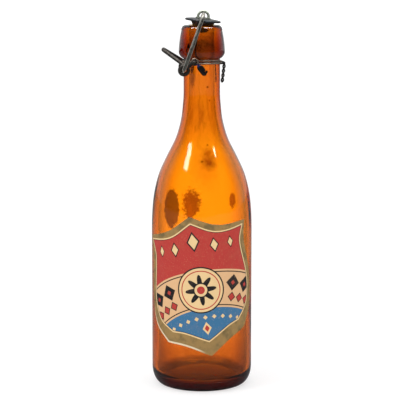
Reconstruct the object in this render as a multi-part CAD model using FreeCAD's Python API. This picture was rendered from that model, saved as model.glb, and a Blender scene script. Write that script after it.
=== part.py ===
import FreeCAD, Part
import math
import os

# Blob top bottle with a wire bail closure. Millimetres, +Z up, origin on the bottle's axis at the base.
# The closure's pivots run along Y, and its handle points to -X.
# A profile point is (radius, height). A side point is (x, height) in a plane of constant Y.

V = FreeCAD.Vector

# Glass: body, shoulder and neck
body_r = 33.5
wall = 3.2
body_top_z = 104.0
shoulder_h = 94.0
neck_r = 12.05
neck_wall = 3.55
neck_h = 21.8

# Glass: base
heel_w = 7.0
heel_h = 12.0
foot_land = 2.0
kick_h = 4.5
floor_t = 6.0
inner_corner_r = 6.0

# Glass: blob lip
lip_h = 22.0
lip_out = 3.15
lip_belly_h = 5.5
lip_round_h = 3.5
lip_taper = 1.72
lip_land_w = 1.5
mouth_edge_r = 0.8

# Tie wire round the neck, its two eyes and the V of its bent end
tie_d = 1.1
tie_gap = 0.1
band_room = 0.75
turn_drop = 1.25 * tie_d
tie_bend_r = 2.0
eye_out = 0.8
eye_top_up = 1.2
spur_d = 1.6
spur_gap = 0.25
spur_bend_r = 1.0
SPUR = [(-2.0, -1.1), (-2.4, -4.2), (1.6, -9.3), (3.4, -5.9)]

# The tie wire's closing twist
tail_steps = 6
tail_turns = 2
tail_pitch = 6.0
tail_swing = 0.72
tail_out = 2.2
tail_lean = 1.4
tail_drop = 2.5
lead_out = 0.3
lead_half = 2.2
lead_in_drop = 1.3
lead_out_drop = 2.0

# Lever and bail wires
wire_d = 2.5
run_gap = 0.25
eye_gap = 0.3
bail_gap = 0.35

# Lever, seen from the front: its eye and its handle from the pivot
pivot_x = -4.6
eye_across = 7.04
eye_drop = 5.29
handle_across = 20.8
handle_up = 7.2
handle_half = 4.0
lever_out = 0.4
lever_bend_r = 3.0
handle_bend_r = 3.2
pin_bend_r = 1.6

# Bail: its bar, and its legs beside the lip
bar_x = 1.1
bail_side = 2.05
bail_bend_r = 3.0
bail_waist = 0.4
bail_waist_r = 20.0

# Stopper, along its own axis
stopper_tilt = 6.0
disc_r = 11.95
disc_rim_t = 1.4
disc_crown = 0.7
disc_lift = 2.3
plug_gap = 0.7
plug_bottom_r = 2.8
plug_h = 7.6
plug_collar_h = 0.4
plug_bulge = 0.5
staple_half = 3.45
staple_d = 1.9
staple_leg = 0.6
staple_gap = 0.3
plate_edge = 1.55
plate_t = 0.6
stem_r = 1.2
stem_gap = 0.05
rivet_r = 2.2
rivet_t = 0.5

# Label: how far it wraps round the body each way, in degrees, and its heights from the inner top point
label_gap = 0.05
label_t = 0.2
label_tilt = 9.2
label_turn = -13.34
label_rise = 10.6
label_peak_up = 2.6
label_horn_turn = 70.12
label_horn_down = 5.2
label_bulge_turn = 71.83
label_shoulder_turn = 49.6
label_shoulder_down = 77.5
label_tip_down = 90.0

# Curves as shares of their height and step
SHOULDER = [(0.234, 0.949), (0.404, 0.785), (0.538, 0.528), (0.667, 0.248), (0.795, 0.084), (0.894, 0.028)]
LIP_UNDER = (0.68, 0.29)
LIP_FLANK = 0.32
DOME_FALL = 0.35
CRANK = (0.45, 0.2)
LABEL_SCALLOP = (0.42, 4.5)
LABEL_OGEE = (0.52, 4.0)
LABEL_SIDE = [(4.5, 19.0), (0.0, 46.5), (2.5, 64.0)]
LABEL_POINTS = 13

# The front of the bottle, as an angle about its axis
FRONT = 1.5 * math.pi

# How the tie wire's turns rise and fall round the neck, from the right and past the front
BAND_WANDER = [0, 0.2, 0.5, 1.0, 1.05, 0.9, 0.2, 0.1, 0, -0.2, -0.3, -0.2, 0, 0.2, 0.1, 0]
BAND_STEPS = len(BAND_WANDER)
SECOND_TURN_SHARE = 0.3

# Glass heights and radii that follow from these
neck_bottom_z = body_top_z + shoulder_h
lip_bottom_z = neck_bottom_z + neck_h
lip_top_z = lip_bottom_z + lip_h
foot_r = body_r - heel_w
lip_r = neck_r + lip_out
bore_r = neck_r - neck_wall
lip_land_r = bore_r + mouth_edge_r + lip_land_w

# Closure: what the wires run round and in
tie_r = tie_d / 2
tie_stub_r = 0.9 * tie_r
wire_r = wire_d / 2
band_r = neck_r + tie_gap + tie_r
band_z = lip_bottom_z - tie_r - band_room
tie_eye_r = wire_r + run_gap + tie_r
tie_eye_y = band_r + eye_out
pivot_z = lip_bottom_z + eye_top_up - tie_eye_r - tie_r
lever_y = max(lip_r + lever_out, tie_eye_y + tie_r + eye_gap + wire_r)
lever_eye_r = wire_d + eye_gap
eye_x = pivot_x - eye_across
eye_z = pivot_z - eye_drop

# Stopper: from the bail's bar, under the staple's arch, down to the plug
arch_z = wire_r + staple_gap + staple_d / 2 - staple_half
plate_low = arch_z - staple_leg - plate_t
disc_low = plate_low - disc_crown - disc_rim_t
bar_z = lip_top_z + disc_lift - disc_low
plate_r = staple_half + plate_edge
plug_top_r = bore_r - plug_gap
bail_top_half = disc_r + bail_side


def at(radius, height):
    return V(radius, 0, height)


def line(a, b):
    return Part.LineSegment(a, b).toShape()


def arc(a, through, b):
    return Part.Arc(a, through, b).toShape()


def level_arc(low, top):
    """An arc from low up to top that ends level there."""
    across = low.x - top.x
    down = top.z - low.z
    radius = (across ** 2 + down ** 2) / (2 * down)
    half = math.asin(across / radius) / 2
    middle = at(top.x + radius * math.sin(half), top.z - radius * (1 - math.cos(half)))
    return arc(low, middle, top)


def spline(points, start=None, end=None):
    curve = Part.BSplineCurve()
    if start:
        curve.interpolate(Points=points, InitialTangent=start, FinalTangent=end)
    else:
        curve.interpolate(points)
    return curve.toShape()


def ellipse_quarter(centre_r, centre_z, across, up):
    """The lower right quarter of an ellipse, from the wall down to the foot."""
    def point(turn):
        return at(centre_r + across * math.cos(turn), centre_z - up * math.sin(turn))

    steps = 6
    points = [point(math.pi / 2 * i / steps) for i in range(steps + 1)]
    return spline(points, V(0, 0, -1), V(-1, 0, 0))


def turned(edges):
    """A solid of revolution about the bottle's axis."""
    return Part.makeSolid(Part.Face(Part.Wire(edges)).revolve(V(0, 0, 0), V(0, 0, 1), 360))


def shoulder(low_r, low_z, high_r, high_z):
    """The S-curve from the body at low_z up to the neck at high_z."""
    points = [at(low_r, low_z)]
    for up, out in SHOULDER:
        points.append(at(high_r + out * (low_r - high_r), low_z + up * (high_z - low_z)))
    points.append(at(high_r, high_z))
    return spline(points, V(0, 0, 1), V(0, 0, 1))


def outside_edges():
    """The outer profile, from the foot ring up to the mouth."""
    belly_z = lip_bottom_z + lip_belly_h
    round_z = lip_top_z - lip_round_h
    round_r = lip_r - lip_taper
    flank = at(lip_r - LIP_FLANK * lip_taper, (belly_z + round_z) / 2)
    under = at(neck_r + LIP_UNDER[0] * lip_out, lip_bottom_z + LIP_UNDER[1] * lip_belly_h)
    return [
        ellipse_quarter(foot_r, heel_h, body_r - foot_r, heel_h),
        line(at(body_r, heel_h), at(body_r, body_top_z)),
        shoulder(body_r, body_top_z, neck_r, neck_bottom_z),
        line(at(neck_r, neck_bottom_z), at(neck_r, lip_bottom_z)),
        arc(at(neck_r, lip_bottom_z), under, at(lip_r, belly_z)),
        arc(at(lip_r, belly_z), flank, at(round_r, round_z)),
        level_arc(at(round_r, round_z), at(lip_land_r, lip_top_z)),
    ]


def inside_edges():
    """The inner profile, from the mouth down to the floor's centre, and the kick below it."""
    inner_r = body_r - wall
    side = mouth_edge_r * (1 - math.sqrt(0.5))
    corner_z = floor_t + inner_corner_r
    corner_r = inner_r - inner_corner_r
    corner_mid = at(corner_r + inner_corner_r * math.sqrt(0.5), corner_z - inner_corner_r * math.sqrt(0.5))
    kick_r = foot_r - foot_land
    return [
        line(at(lip_land_r, lip_top_z), at(bore_r + mouth_edge_r, lip_top_z)),
        arc(
            at(bore_r + mouth_edge_r, lip_top_z),
            at(bore_r + side, lip_top_z - side),
            at(bore_r, lip_top_z - mouth_edge_r),
        ),
        line(at(bore_r, lip_top_z - mouth_edge_r), at(bore_r, neck_bottom_z)),
        shoulder(inner_r, body_top_z, bore_r, neck_bottom_z),
        line(at(inner_r, body_top_z), at(inner_r, corner_z)),
        arc(at(inner_r, corner_z), corner_mid, at(corner_r, floor_t)),
        arc(at(corner_r, floor_t), at(corner_r / 2, floor_t + 0.75 * kick_h), at(0, floor_t + kick_h)),
        line(at(0, floor_t + kick_h), at(0, kick_h)),
        arc(at(0, kick_h), at(kick_r / 2, 0.75 * kick_h), at(kick_r, 0)),
        line(at(kick_r, 0), at(foot_r, 0)),
    ]


def glass_bottle():
    return turned(Part.__sortEdges__(outside_edges() + inside_edges()))


def bent_wire(points, diameter, bends):
    """A round wire along straight runs, with a tangent arc of the given radius at each inner point."""
    edges = []
    start = points[0]
    for before, corner, after, bend_r in zip(points, points[1:], points[2:], bends):
        back = before - corner
        ahead = after - corner
        runs = min(back.Length, ahead.Length)
        back.normalize()
        ahead.normalize()
        half_turn = (math.pi - back.getAngle(ahead)) / 2
        cut = min(bend_r * math.tan(half_turn), 0.45 * runs)
        radius = cut / math.tan(half_turn)
        inward = back + ahead
        inward.normalize()
        middle = corner + inward * (radius / math.cos(half_turn) - radius)
        edges.append(line(start, corner + back * cut))
        edges.append(arc(corner + back * cut, middle, corner + ahead * cut))
        start = corner + ahead * cut
    edges.append(line(start, points[-1]))
    section = Part.Wire([Part.makeCircle(diameter / 2, points[0], points[1] - points[0])])
    return Part.Wire(edges).makePipeShell([section], True, False)


def side_plane(points, y):
    return [V(x, y, z) for x, z in points]


def on_band(x):
    """How far from the bottle's axis the tie wire runs past the front or back at x."""
    return math.sqrt(band_r ** 2 - x ** 2)


def band_height(step):
    """The height of the turns round the neck. They wander as hand-tied wire does."""
    turn, place = divmod(step, BAND_STEPS)
    low = int(place)
    ahead = BAND_WANDER[(low + 1) % BAND_STEPS]
    rise = BAND_WANDER[low] + (place - low) * (ahead - BAND_WANDER[low])
    share = SECOND_TURN_SHARE if turn else 1.0
    return band_z - turn_drop * step / BAND_STEPS + share * rise


def band_point(step):
    corner_r = band_r / math.cos(math.pi / BAND_STEPS)
    angle = -2 * math.pi * step / BAND_STEPS
    return V(corner_r * math.cos(angle), corner_r * math.sin(angle), band_height(step))


def tail_points(phase):
    """One wire end of the closing twist, down the right side of the neck."""
    points = []
    for i in range(tail_steps * tail_turns + 1):
        angle = phase + 2 * math.pi * i / tail_steps
        centre_x = band_r + tail_out - tail_lean * i / (tail_steps * tail_turns)
        height = band_z - tail_drop - tail_pitch * i / tail_steps
        points.append(V(centre_x + tail_swing * math.cos(angle), tail_swing * math.sin(angle), height))
    return points


def band_and_twist():
    """One wire: up the twist, twice round the neck, and down the twist again."""
    up = tail_points(-math.pi / 2)[::-1]
    down = tail_points(math.pi / 2)
    turns = [band_point(step) for step in range(1, 2 * BAND_STEPS)]
    lead_x = band_r + tail_out + lead_out
    before = V(lead_x, -lead_half, band_z - lead_in_drop)
    after = V(lead_x, lead_half, band_z - lead_out_drop)
    points = up + [before] + turns + [after] + down
    bends = [tie_bend_r] * len(up) + [band_r] * len(turns) + [tie_bend_r] * len(down)
    return bent_wire(points, tie_d, bends)


def tie_eye(side):
    """The ring that one pivot of the lever turns in, with its neck on the band."""
    y = side * tie_eye_y
    ring = Part.makeTorus(tie_eye_r, tie_r, V(pivot_x, y, pivot_z), V(0, 1, 0))
    quarter = math.acos((pivot_x + tie_eye_r) / band_r) / (2 * math.pi)
    height = band_height(BAND_STEPS * (quarter if side < 0 else 1 - quarter))
    foot_x = pivot_x + math.sqrt(tie_eye_r ** 2 - (height - pivot_z) ** 2)
    foot_y = side * on_band(foot_x)
    stub = Part.makeCylinder(tie_stub_r, abs(y - foot_y), V(foot_x, foot_y, height), V(0, side, 0))
    return ring.fuse(stub)


def tie_spur():
    """The bent end of the tie wire that hangs in a V at the front."""
    points = side_plane([(x, band_z + up) for x, up in SPUR], -(neck_r + spur_gap + spur_d / 2))
    return bent_wire(points, spur_d, [spur_bend_r] * (len(SPUR) - 2))


def tie_wire():
    return band_and_twist().multiFuse([tie_eye(-1), tie_eye(1), tie_spur()]).removeSplitter()


def eye_rim(x, z):
    """The point of the lever eye's centre line that faces the given side point."""
    lean = math.atan2(z - eye_z, x - eye_x)
    return (eye_x + lever_eye_r * math.cos(lean), eye_z + lever_eye_r * math.sin(lean))


def lever_side(side):
    """One side of the lever: the pivot pin, the arm and the closed eye for the bail."""
    y = side * lever_y
    near_x = abs(pivot_x) - wire_r
    pin_end = side * (math.sqrt((band_r + tie_r) ** 2 - near_x ** 2) + run_gap)
    eye = Part.makeTorus(lever_eye_r, wire_r, V(eye_x, y, eye_z), V(0, 1, 0))
    meet = eye_rim(pivot_x, pivot_z)
    crank = (pivot_x + CRANK[0] * (meet[0] - pivot_x), pivot_z + CRANK[1] * (meet[1] - pivot_z))
    points = side_plane([(pivot_x, pivot_z), (pivot_x, pivot_z), crank, meet], y)
    points[0].y = pin_end
    arm = bent_wire(points, wire_d, [pin_bend_r, lever_bend_r])
    return eye.fuse(arm)


def lever_handle():
    """The U-shaped handle between the two eyes. Its legs run on from the tops of the eyes."""
    handle_x = pivot_x - handle_across
    handle_z = pivot_z + handle_up
    out = math.hypot(handle_x - eye_x, handle_z - eye_z)
    turn = math.atan2(handle_z - eye_z, handle_x - eye_x) - math.acos(lever_eye_r / out)
    root = (eye_x + lever_eye_r * math.cos(turn), eye_z + lever_eye_r * math.sin(turn))
    near = V(root[0], -lever_y, root[1])
    far = V(root[0], lever_y, root[1])
    tip_near = V(handle_x, -handle_half, handle_z)
    tip_far = V(handle_x, handle_half, handle_z)
    return bent_wire([near, tip_near, tip_far, far], wire_d, [handle_bend_r] * 2)


def lever_wire():
    return lever_handle().multiFuse([lever_side(-1), lever_side(1)]).removeSplitter()


def bail_wire():
    """The bail: its ends hook through the lever's eyes, and its bar runs through the stopper's staple."""
    leg_y = lever_y + wire_d + bail_gap
    hook_y = lever_y - wire_r - run_gap
    waist_x = eye_x + bail_waist * (bar_x - eye_x)
    waist_z = eye_z + bail_waist * (bar_z - eye_z)
    points = [
        V(eye_x, -hook_y, eye_z),
        V(eye_x, -leg_y, eye_z),
        V(waist_x, -leg_y, waist_z),
        V(bar_x, -bail_top_half, bar_z),
        V(bar_x, bail_top_half, bar_z),
        V(waist_x, leg_y, waist_z),
        V(eye_x, leg_y, eye_z),
        V(eye_x, hook_y, eye_z),
    ]
    bends = [pin_bend_r, bail_waist_r, bail_bend_r, bail_bend_r, bail_waist_r, pin_bend_r]
    return bent_wire(points, wire_d, bends)


def seated(shape):
    """Move a stopper piece from its own axis, with the bail's bar at the origin, to its place."""
    shape.rotate(V(0, 0, 0), V(0, 1, 0), stopper_tilt)
    shape.translate(V(bar_x, 0, bar_z))
    return shape


def stopper_disc():
    """The domed metal disc, with a flat for the staple's plate and a hole for its stem."""
    hole_r = stem_r + stem_gap
    rim_r = disc_r - disc_rim_t / 2
    rim_top = disc_low + disc_rim_t
    edges = [
        line(at(hole_r, disc_low), at(rim_r, disc_low)),
        arc(at(rim_r, disc_low), at(disc_r, disc_low + disc_rim_t / 2), at(rim_r, rim_top)),
        arc(
            at(rim_r, rim_top),
            at((rim_r + plate_r) / 2, plate_low - DOME_FALL * disc_crown),
            at(plate_r, plate_low),
        ),
        line(at(plate_r, plate_low), at(hole_r, plate_low)),
        line(at(hole_r, plate_low), at(hole_r, disc_low)),
    ]
    return seated(turned(edges))


def stopper_plug():
    """The rubber plug under the disc: a short collar and a cone with a rounded end."""
    low = disc_low - plug_h
    collar_z = disc_low - plug_collar_h
    hole_r = stem_r + stem_gap
    middle = at((plug_top_r + plug_bottom_r) / 2 + plug_bulge, (disc_low + low) / 2)
    edges = [
        line(at(hole_r, disc_low), at(plug_top_r, disc_low)),
        line(at(plug_top_r, disc_low), at(plug_top_r, collar_z)),
        arc(at(plug_top_r, collar_z), middle, at(plug_bottom_r, low)),
        line(at(plug_bottom_r, low), at(hole_r, low)),
        line(at(hole_r, low), at(hole_r, disc_low)),
    ]
    return seated(turned(edges))


def stopper_staple():
    """The metal staple for the bail, with its plate, and the stem riveted under the plug."""
    stem_low = disc_low - plug_h
    plate = Part.makeCylinder(plate_r, plate_t, V(0, 0, plate_low))
    stem = Part.makeCylinder(stem_r, plate_low - stem_low, V(0, 0, stem_low))
    rivet = Part.makeCylinder(rivet_r, rivet_t, V(0, 0, stem_low - rivet_t))
    foot_z = plate_low + plate_t / 2
    path = Part.Wire([
        line(V(-staple_half, 0, foot_z), V(-staple_half, 0, arch_z)),
        arc(V(-staple_half, 0, arch_z), V(0, 0, arch_z + staple_half), V(staple_half, 0, arch_z)),
        line(V(staple_half, 0, arch_z), V(staple_half, 0, foot_z)),
    ])
    section = Part.Wire([Part.makeCircle(staple_d / 2, V(-staple_half, 0, foot_z), V(0, 0, 1))])
    arch = path.makePipeShell([section], True, False)
    return seated(plate.multiFuse([stem, rivet, arch]).removeSplitter())


def round_body(degrees):
    return math.radians(degrees) * body_r


def label_outline():
    """The flat outline's pieces, clockwise from the top point: top scallop, side, and ogee to the tip."""
    peak = (0, label_peak_up)
    horn = (round_body(label_horn_turn), -label_horn_down)
    low = (round_body(label_shoulder_turn), -label_shoulder_down)
    tip = (0, -label_tip_down)
    bulge = round_body(label_bulge_turn)
    scallop = [peak, (LABEL_SCALLOP[0] * horn[0], -LABEL_SCALLOP[1]), horn]
    side = [horn] + [(bulge - inward, -down) for inward, down in LABEL_SIDE] + [low]
    ogee = [low, (LABEL_OGEE[0] * low[0], low[1] - LABEL_OGEE[1]), tip]
    return [scallop, side, ogee]


def wrapped(across, up):
    """A flat point of the label as (angle, height) on the body's cylinder."""
    tilt = math.radians(label_tilt)
    arc_length = across * math.cos(tilt) - up * math.sin(tilt)
    angle = FRONT + math.radians(label_turn) + arc_length / body_r
    height = body_top_z + label_rise + across * math.sin(tilt) + up * math.cos(tilt)
    return FreeCAD.Base.Vector2d(angle, height)


def paper_label():
    """The shield-shaped paper, wrapped on the front of the body."""
    surface = Part.Cylinder()
    surface.Radius = body_r + label_gap
    halves = label_outline()
    mirrored = [[(-across, up) for across, up in piece[::-1]] for piece in halves[::-1]]
    edges = []
    for piece in halves + mirrored:
        samples = spline([V(across, up, 0) for across, up in piece]).discretize(Number=LABEL_POINTS)
        curve = Part.Geom2d.BSplineCurve2d()
        curve.interpolate([wrapped(p.x, p.y) for p in samples])
        edges.append(curve.toShape(surface))
    return Part.Face(surface, Part.Wire(edges)).makeOffsetShape(label_t, 0.001, fill=True)


NODES = {
    "glass_bottle": glass_bottle,
    "tie_wire": tie_wire,
    "lever_wire": lever_wire,
    "bail_wire": bail_wire,
    "stopper_staple": stopper_staple,
    "stopper_disc": stopper_disc,
    "stopper_plug": stopper_plug,
    "paper_label": paper_label,
}


def main():
    os.makedirs("parts", exist_ok=True)
    for name, make in NODES.items():
        shape = make()
        shape.exportStep(f"parts/{name}.step")
        box = shape.BoundBox
        print(name, shape.ShapeType, len(shape.Solids), shape.isValid(), round(shape.Volume, 1),
              [round(v, 2) for v in (box.XMin, box.YMin, box.ZMin, box.XMax, box.YMax, box.ZMax)])


main()
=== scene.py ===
import math

import bpy
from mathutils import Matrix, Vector, noise


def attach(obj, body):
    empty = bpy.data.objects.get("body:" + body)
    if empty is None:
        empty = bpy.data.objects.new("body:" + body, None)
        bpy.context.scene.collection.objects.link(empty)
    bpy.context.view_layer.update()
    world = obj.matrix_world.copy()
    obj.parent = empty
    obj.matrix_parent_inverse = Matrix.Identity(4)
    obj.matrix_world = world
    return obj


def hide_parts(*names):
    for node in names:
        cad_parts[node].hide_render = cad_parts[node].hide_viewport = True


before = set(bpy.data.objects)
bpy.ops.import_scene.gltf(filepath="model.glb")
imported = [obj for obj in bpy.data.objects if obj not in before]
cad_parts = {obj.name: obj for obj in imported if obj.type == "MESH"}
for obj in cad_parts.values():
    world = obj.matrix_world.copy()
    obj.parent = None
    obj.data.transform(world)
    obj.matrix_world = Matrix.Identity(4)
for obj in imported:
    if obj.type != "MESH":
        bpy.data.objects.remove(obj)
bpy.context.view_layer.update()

MM = 0.001

# Glass sizes in millimetres, as radii from the bottle's axis and heights above the floor
BODY_R = 33.5
WALL = 3.2
BODY_TOP = 104.0
NECK_R = 12.05
BORE_R = 8.5
NECK_BOTTOM = 198.0
LIP_BOTTOM = 219.8
LIP_TOP = 241.8
LIP_R = 15.2
LIP_LAND_R = 10.8
LIP_TAPER = 1.72
BELLY_H = 5.5
ROUND_H = 3.5
MOUTH_EDGE = 0.8
FOOT_R = 26.5
FOOT_LAND = 2.0
HEEL_H = 12.0
KICK_H = 4.5
FLOOR_T = 6.0
CORNER_R = 6.0

# How full the glass's curves are, as shares of height and width. The shoulder has six (up, out) pairs.
SHOULDER = [(0.234, 0.949), (0.404, 0.785), (0.538, 0.528), (0.667, 0.248), (0.795, 0.084), (0.894, 0.028)]
LIP_SIDE = 0.32
UNDER_LIP_OUT = 0.68
UNDER_LIP_UP = 0.29
KICK_HALFWAY = 0.75

# Steps of the glass round its axis, and how near two points are welded, in metres
LATHE_STEPS = 160
WELD = 0.00001

# The inner wall's unevenness in millimetres: its depth, its waves' pace, and the heights over which it fades
UNEVEN = 0.28
UNEVEN_ACROSS = 0.076
UNEVEN_UP = 0.028
UNEVEN_LOW_FADE = 12
UNEVEN_TOP_FADE = 10

# Label in millimetres: across from its centre line and up from its inner top point
LABEL_R = 33.57
LABEL_T = 0.16
LABEL_TILT = math.radians(9.2)
LABEL_ARC = -7.8
LABEL_Z = 114.6
LABEL_SPAN = 100.0
LABEL_TOP = 4.5
LABEL_CUT = 1.4
LABEL_COUNTS = (18, 30, 14)
LABEL_RAGGED = 0.16
CREAM_LINE = 0.85
KEY_LINE = 0.38
PAPER = [
    [(0, 4.2), (17.2, -3.8), (40.2, -5.9)],
    [(40.2, -5.9), (37.5, -19), (42, -46.5), (39.5, -64), (29, -77.5)],
    [(29, -77.5), (15.1, -81.5), (0, -90)],
]
SHIELD = [
    [(0, 0), (16.2, -7.8), (37.8, -8)],
    [(37.8, -8), (33.5, -19), (37.8, -46.5), (34.4, -61.5), (24, -71)],
    [(24, -71), (15, -73), (0, -80.5)],
]

# The label's rings, as they are marked on its vertices from the paper's edge inwards
PAPER_RING, SHIELD_RING, CREAM_RING, KEY_RING = 0.0, 1.0, 2.0, 3.0

# Which layers of noise push the paper's edge across and up
RAGGED_ACROSS, RAGGED_UP = 3, 7

# The tie wire's flattened end in millimetres, folded down over the neck: its outline, place and thickness
TAIL = [(-2.8, 216.9), (0.7, 215.8), (2.4, 213.3), (1.5, 209.8), (-1.3, 213.2)]
TAIL_Y = -13.1
TAIL_T = 1.2
TAIL_ROUND = 0.3


# Selecting and editing, as by hand

def pick_only(piece):
    bpy.ops.object.select_all(action="DESELECT")
    piece.select_set(True)
    bpy.context.view_layer.objects.active = piece


def edit(piece, select_all=True):
    """Go to edit mode, with all selected or with what was selected before."""
    pick_only(piece)
    bpy.ops.object.mode_set(mode="EDIT")
    bpy.ops.mesh.select_mode(type="VERT")
    if select_all:
        bpy.ops.mesh.select_all(action="SELECT")


def done():
    bpy.ops.object.mode_set(mode="OBJECT")


def smooth(piece, degrees=40):
    pick_only(piece)
    bpy.ops.object.shade_smooth_by_angle(angle=math.radians(degrees))


def settle(piece):
    """Put the piece's place and turn into its mesh."""
    pick_only(piece)
    bpy.ops.object.transform_apply(location=True, rotation=True, scale=True)


def trace(name, points):
    """Draw a line through (across, height) points in millimetres by extruding its first point."""
    bpy.ops.object.select_all(action="DESELECT")
    bpy.ops.mesh.primitive_plane_add(size=MM, location=(points[0][0] * MM, 0, points[0][1] * MM))
    piece = bpy.context.object
    piece.name = name
    settle(piece)
    edit(piece)
    bpy.ops.mesh.merge(type="CENTER")
    for before, here in zip(points, points[1:]):
        step = ((here[0] - before[0]) * MM, 0, (here[1] - before[1]) * MM)
        bpy.ops.mesh.extrude_region_move(TRANSFORM_OT_translate={"value": step})
    done()
    return piece


def mark(piece, name, value_of):
    """Store a number on each vertex, apart from those that get None."""
    layer = piece.data.attributes.get(name) or piece.data.attributes.new(name, "FLOAT", "POINT")
    for vertex, each in zip(piece.data.vertices, layer.data):
        value = value_of(vertex)
        if value is not None:
            each.value = value


# Profiles

def circle_centre(a, b, c):
    """The centre of the circle through three points."""
    ax, ay = a
    bx, by = b
    cx, cy = c
    a_square = ax * ax + ay * ay
    b_square = bx * bx + by * by
    c_square = cx * cx + cy * cy
    turn = 2 * (ax * (by - cy) + bx * (cy - ay) + cx * (ay - by))
    across = a_square * (by - cy) + b_square * (cy - ay) + c_square * (ay - by)
    up = a_square * (cx - bx) + b_square * (ax - cx) + c_square * (bx - ax)
    return across / turn, up / turn


def arc_points(start, middle, end, count):
    """Points of the arc from start through middle to end, without start itself."""
    x, y = circle_centre(start, middle, end)
    first = math.atan2(start[1] - y, start[0] - x)
    halfway = (math.atan2(middle[1] - y, middle[0] - x) - first) % (2 * math.pi)
    sweep = (math.atan2(end[1] - y, end[0] - x) - first) % (2 * math.pi)
    if halfway >= sweep:
        sweep -= 2 * math.pi
    radius = math.hypot(start[0] - x, start[1] - y)
    made = []
    for i in range(1, count + 1):
        angle = first + sweep * i / count
        made.append((x + radius * math.cos(angle), y + radius * math.sin(angle)))
    return made


def straight(a, b, count):
    """Points of the straight line from a to b, without a itself."""
    across, up = b[0] - a[0], b[1] - a[1]
    return [(a[0] + across * i / count, a[1] + up * i / count) for i in range(1, count + 1)]


def eased(t, run, a, b, slope_a, slope_b):
    """The value a share t of the way along a run from a to b, with the slopes that it has at both."""
    return (
        (2 * t ** 3 - 3 * t ** 2 + 1) * a + (t ** 3 - 2 * t ** 2 + t) * run * slope_a
        + (3 * t ** 2 - 2 * t ** 3) * b + (t ** 3 - t ** 2) * run * slope_b
    )


def smooth_rise(points, count):
    """A smooth curve of count runs up through the points, upright at both ends, without its first point."""
    heights = [point[1] for point in points]
    slopes = [0.0]
    for before, after in zip(points, points[2:]):
        slopes.append((after[0] - before[0]) / (after[1] - before[1]))
    slopes.append(0.0)
    made = []
    for i in range(1, count + 1):
        height = heights[0] + (heights[-1] - heights[0]) * i / count
        k = max(j for j in range(len(points) - 1) if height >= heights[j] or j == 0)
        run = heights[k + 1] - heights[k]
        share = (height - heights[k]) / run
        out = eased(share, run, points[k][0], points[k + 1][0], slopes[k], slopes[k + 1])
        made.append((out, height))
    return made


def smooth_edge(points, count):
    """A smooth flat curve of count runs through the points, without its last point."""
    slopes = []
    for before, here, after in zip(points[:1] + points, points, points[1:] + points[-1:]):
        reach = math.dist(before, here) + math.dist(here, after)
        slopes.append(((after[0] - before[0]) / reach, (after[1] - before[1]) / reach))
    lengths = [math.dist(a, b) for a, b in zip(points, points[1:])]
    made = []
    for i in range(count):
        along = sum(lengths) * i / count
        k = 0
        while along > lengths[k]:
            along -= lengths[k]
            k += 1
        share = along / lengths[k]
        both_ways = zip(points[k], points[k + 1], slopes[k], slopes[k + 1])
        made.append(tuple(eased(share, lengths[k], *ends) for ends in both_ways))
    return made


def shoulder_points(low_r, high_r, count):
    """The shoulder's slope from the body's radius up to the neck's, without its first point."""
    points = [(low_r, BODY_TOP)]
    for up, out in SHOULDER:
        points.append((high_r + out * (low_r - high_r), BODY_TOP + up * (NECK_BOTTOM - BODY_TOP)))
    points.append((high_r, NECK_BOTTOM))
    return smooth_rise(points, count)


def inside_profile():
    """The inner wall, from the centre of the floor up to the mouth."""
    inner_r = BODY_R - WALL
    flat_r = inner_r - CORNER_R
    reach = math.sqrt(0.5)
    kick_middle = (flat_r / 2, FLOOR_T + KICK_HALFWAY * KICK_H)
    corner_middle = (flat_r + CORNER_R * reach, FLOOR_T + CORNER_R - CORNER_R * reach)
    edge_side = MOUTH_EDGE * (1 - reach)
    edge_middle = (BORE_R + edge_side, LIP_TOP - edge_side)
    p = [(0.0, FLOOR_T + KICK_H)]
    p += arc_points(p[-1], kick_middle, (flat_r, FLOOR_T), count=12)
    p += arc_points(p[-1], corner_middle, (inner_r, FLOOR_T + CORNER_R), count=8)
    p += straight(p[-1], (inner_r, BODY_TOP), count=24)
    p += shoulder_points(inner_r, BORE_R, count=44)
    p += straight(p[-1], (BORE_R, LIP_TOP - MOUTH_EDGE), count=14)
    p += arc_points(p[-1], edge_middle, (BORE_R + MOUTH_EDGE, LIP_TOP), count=4)
    return p


def lip_top_middle(round_r):
    """The middle of the arc that rounds the lip's top, from its flat land out to the given radius."""
    across = round_r - LIP_LAND_R
    radius = (across ** 2 + ROUND_H ** 2) / (2 * ROUND_H)
    half = math.asin(across / radius) / 2
    return LIP_LAND_R + radius * math.sin(half), LIP_TOP - radius * (1 - math.cos(half))


def heel_points(count):
    """The rounded heel, from the body down to the foot, without its first point."""
    made = []
    for i in range(1, count + 1):
        angle = math.pi / 2 * i / count
        out = FOOT_R + (BODY_R - FOOT_R) * math.cos(angle)
        made.append((out, HEEL_H - HEEL_H * math.sin(angle)))
    return made


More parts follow.
